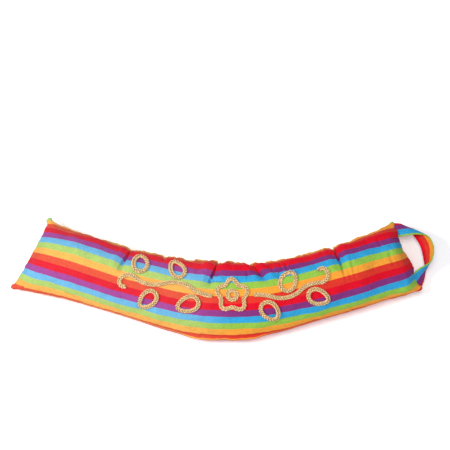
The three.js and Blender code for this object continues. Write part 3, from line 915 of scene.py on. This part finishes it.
def resample(path, step, closed):
    """The same path in (along, across), with points an even step apart."""
    path = np.asarray(path, dtype=float)[:, :2]
    if closed:
        path = np.vstack([path, path[:1]])
    run = np.concatenate([[0], np.cumsum(np.hypot(*np.diff(path, axis=0).T))])
    count = max(int(round(run[-1] / step)), LEAST_PLAIT_STEPS)
    wanted = np.linspace(0, run[-1], count + 1)
    if closed:
        wanted = wanted[:-1]
    return np.stack([np.interp(wanted, run, path[:, k]) for k in (0, 1)], axis=-1), run[-1]


def smooth_run(values, closed, rounds):
    for _ in range(rounds):
        if closed:
            before, after = np.roll(values, 1, axis=0), np.roll(values, -1, axis=0)
        else:
            before = np.vstack([values[:1], values[:-1]])
            after = np.vstack([values[1:], values[-1:]])
        values = (before + 2 * values + after) / 4
    return values


def make_plait(name, path, closed):
    """Flat plait of three strands that lies on the face along a path."""
    flat, length = resample(path, PLAIT_STEP, closed)
    seat = look_up(face["points"], flat[:, 0], flat[:, 1] / PANEL_WIDTH)
    normal = unit(look_up(face["normal"], flat[:, 0], flat[:, 1] / PANEL_WIDTH))
    seat = smooth_run(seat, closed, SEAT_SMOOTHING)
    normal = unit(smooth_run(normal, closed, NORMAL_SMOOTHING))
    tangent = path_direction(seat, closed)
    sideways = unit(np.cross(tangent, normal))
    upward = unit(np.cross(sideways, tangent))
    count = len(seat)
    periods = max(round(length / PLAIT_PERIOD), 1)
    t = np.arange(count) / (count if closed else count - 1)
    s = t * length
    if closed:
        taper = np.ones(count)
    else:
        taper = np.sqrt(np.clip(np.minimum(s, length - s) / TAPER_LENGTH, TAPER_LEAST, 1))
    points, faces, uvs, exposed = [], [], [], []
    turn = 2 * np.pi * np.arange(STRAND_SIDES) / STRAND_SIDES
    for strand in range(STRANDS):
        phase = 2 * np.pi * (periods * t + strand / STRANDS)
        middle = (
            seat + upward * (ROPE_SEAT + PLAIT_LIFT * np.sin(2 * phase))[:, None]
            + sideways * (PLAIT_SWING * taper * np.sin(phase))[:, None]
        )
        along = path_direction(middle, closed)
        side = unit(np.cross(along, upward))
        rise = np.cross(side, along)
        radius = (STRAND_RADIUS * taper)[:, None, None]
        ring = middle[:, None] + radius * (
            side[:, None] * np.cos(turn)[None, :, None] + rise[:, None] * np.sin(turn)[None, :, None]
        )
        # Open to the light on top and on the plait's outer sides; the rest is darkened in the jute's colour
        # as painted shade
        outer_side = np.sin(phase)[:, None] * np.cos(turn)[None, :]
        buried = 0.5 - 0.5 * np.sin(2 * phase)[:, None]
        open_part = np.maximum(np.sin(turn)[None, :] - BURIED_DARK * buried, OUTER_OPEN * outer_side)
        base = len(points)
        points.extend(ring.reshape(-1, 3).tolist())
        spans = count if closed else count - 1
        for i in range(spans):
            here, there = base + i * STRAND_SIDES, base + (i + 1) % count * STRAND_SIDES
            for k in range(STRAND_SIDES):
                m = (k + 1) % STRAND_SIDES
                faces.append((here + k, there + k, there + m, here + m))
                u0 = strand * STRAND_UV_SHIFT + i * PLAIT_STEP * MM
                u1 = strand * STRAND_UV_SHIFT + (i + 1) * PLAIT_STEP * MM
                v0, v1 = k / STRAND_SIDES, (k + 1) / STRAND_SIDES
                uvs += [(u0, v0), (u1, v0), (u1, v1), (u0, v1)]
                j = (i + 1) % count
                exposed += [open_part[i, k], open_part[j, k], open_part[j, m], open_part[i, m]]
        if not closed:
            first = [base + k for k in range(STRAND_SIDES)]
            last = [base + (count - 1) * STRAND_SIDES + k for k in reversed(range(STRAND_SIDES))]
            faces += [first, last]
            uvs += [(0, 0)] * (2 * STRAND_SIDES)
            exposed += [CUT_END_OPEN] * (2 * STRAND_SIDES)
    return new_object(name, np.array(points), faces, uvs, rope_fibre, np.array(exposed))


def loop_path(steps, distance_at):
    angle = 2 * np.pi * np.arange(steps) / steps
    turned = angle + math.radians(FLOWER["start"])
    distance = distance_at(angle)
    return np.stack([
        FLOWER["along"] + distance * np.cos(turned), FLOWER["across"] + distance * np.sin(turned)
    ], axis=-1)


def leaf_path(stem, place, side, angle):
    base = stem[round_half_up(place / CAD_ROPE_STEP)]
    sideways = base[2] + side * math.pi / 2
    direction = base[2] + side * math.radians(angle)
    start = base[0] + math.cos(sideways) * LEAF["offset"], base[1] + math.sin(sideways) * LEAF["offset"]
    turn = 2 * np.pi * np.arange(LEAF_STEPS) / LEAF_STEPS
    forward = LEAF["length"] / 2 * (1 - np.cos(turn))
    wide = LEAF["width"] / 2 * np.sin(turn) * (1 + LEAF["egg"] * np.cos(turn))
    return np.stack([
        start[0] + forward * math.cos(direction) - wide * math.sin(direction),
        start[1] + forward * math.sin(direction) + wide * math.cos(direction),
    ], axis=-1)


def flower_distance(angle):
    return FLOWER["radius"] * (1 + FLOWER["lobe"] * np.cos(FLOWER["lobes"] * angle))


def ring_distance(angle):
    return np.full(len(angle), RING_RADIUS)


ropes = [
    ("rope_flower", make_plait("flower_rope", loop_path(FLOWER_STEPS, flower_distance), True)),
    ("rope_ring", make_plait("flower_middle_rope", loop_path(RING_STEPS, ring_distance), True)),
]
coarse_stems = []
for name, *course in STEMS:
    ropes.append((name, make_plait(name.replace("rope_", "") + "_rope", arc_path(*course, STEM_STEP), False)))
    coarse_stems.append(arc_path(*course, CAD_ROPE_STEP))
for number, (stem, place, side, angle) in enumerate(LEAVES, 1):
    path = leaf_path(coarse_stems[stem], place, side, angle)
    ropes.append((f"rope_leaf_{number}", make_plait(f"leaf_{number}_rope", path, True)))

# Floor, light and camera, in metres
FLOOR_HALF = 12.0
FLOOR_COLOUR = (0.97, 0.97, 0.97)
FLOOR_DARKER = 0.985
FLOOR_GLOW = 0.14
WORLD_STRENGTH = 0.26
WHITE = (1, 1, 1)
LIGHTS = [
    {"name": "key", "place": (-1.3, -0.2, 1.7), "aim": (0, 0, 0), "size": 0.45, "watts": 29,
     "colour": (1.0, 0.99, 0.97)},
    {"name": "top", "place": (0.2, -0.2, 2.5), "aim": (0, 0, 0), "size": 1.1, "watts": 34, "colour": WHITE},
    {"name": "fill", "place": (-0.5, -1.5, 1.7), "aim": (0, 0, 0), "size": 1.5, "watts": 5,
     "colour": (0.99, 0.99, 1.0)},
    {"name": "side", "place": (1.7, -0.5, 0.9), "aim": (0.2, 0, 0), "size": 0.9, "watts": 2, "colour": WHITE},
]


def pale_floor():
    """Pale matt material with a faint grain and a little glow."""
    material, tree, surface = shader("pale floor", roughness=0.7, sheen=0.0, sheen_roughness=0.5)
    coordinates = node(tree, "TexCoord").outputs["Object"]
    grain = node(tree, "TexNoise", {"Vector": coordinates, "Scale": 6.0, "Detail": 4.0}).outputs["Fac"]
    ramp = node(tree, "ValToRGB", {"Fac": grain})
    ramp.color_ramp.elements[0].color = (*[c * FLOOR_DARKER for c in FLOOR_COLOUR], 1)
    ramp.color_ramp.elements[1].color = (*FLOOR_COLOUR, 1)
    tree.links.new(ramp.outputs[0], surface.inputs["Base Color"])
    surface.inputs["Emission Color"].default_value = (*WHITE, 1)
    surface.inputs["Emission Strength"].default_value = FLOOR_GLOW
    return material


def make_floor():
    corners = [(x * FLOOR_HALF, y * FLOOR_HALF, 0) for x, y in ((-1, -1), (1, -1), (1, 1), (-1, 1))]
    mesh = bpy.data.meshes.new("floor")
    mesh.from_pydata(corners, [], [(0, 1, 2, 3)])
    mesh.materials.append(pale_floor())
    floor = bpy.data.objects.new("floor", mesh)
    bpy.context.scene.collection.objects.link(floor)


def area_light(name, place, aim, size, watts, colour):
    data = bpy.data.lights.new(name, "AREA")
    data.size, data.energy, data.color = size, watts, colour
    lamp = bpy.data.objects.new(name, data)
    lamp.location = place
    lamp.rotation_euler = (Vector(aim) - Vector(place)).to_track_quat("-Z", "Y").to_euler()
    bpy.context.scene.collection.objects.link(lamp)


make_floor()
for light in LIGHTS:
    area_light(**light)
world = bpy.data.worlds.new("studio")
world.use_nodes = True
world.node_tree.nodes["Background"].inputs["Color"].default_value = (*WHITE, 1)
world.node_tree.nodes["Background"].inputs["Strength"].default_value = WORLD_STRENGTH
bpy.context.scene.world = world
bpy.context.scene.view_settings.view_transform = "Standard"

# The point AIM_HEIGHT over the bend's middle appears at AIM_PIXEL of 450 by 450 pixels
ELEVATION = math.radians(76)
DISTANCE = 3.0
FOCAL_PIXELS = 1410.0
IMAGE_PIXELS = 450.0
AIM_PIXEL = (216.0, 299.5)
AIM_HEIGHT = 45
SENSOR_WIDTH = 36
look = Vector((0, math.cos(ELEVATION), -math.sin(ELEVATION)))
lift = Vector((0, math.sin(ELEVATION), math.cos(ELEVATION)))
subject = Vector((SHIFT[0], SHIFT[1], AIM_HEIGHT)) * MM
aim = subject + Vector((1, 0, 0)) * (IMAGE_PIXELS / 2 - AIM_PIXEL[0]) / FOCAL_PIXELS * DISTANCE
aim += lift * (AIM_PIXEL[1] - IMAGE_PIXELS / 2) / FOCAL_PIXELS * DISTANCE
camera_data = bpy.data.cameras.new("camera")
camera_data.sensor_width = SENSOR_WIDTH
camera_data.lens = FOCAL_PIXELS / IMAGE_PIXELS * SENSOR_WIDTH
camera = bpy.data.objects.new("camera", camera_data)
place = subject - look * DISTANCE
forward = (aim - place).normalized()
side = (Vector((1, 0, 0)) - forward * forward.x).normalized()
axes = Matrix((side, side.cross(forward), -forward)).transposed().to_4x4()
camera.matrix_world = Matrix.Translation(place) @ axes
bpy.context.scene.collection.objects.link(camera)
bpy.context.scene.camera = camera

# What stands for what
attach(cover, "root")
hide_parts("cover")
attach(strap, "root")
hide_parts("carry_strap")
for solid, rope in ropes:
    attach(rope, "root")
    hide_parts(solid)
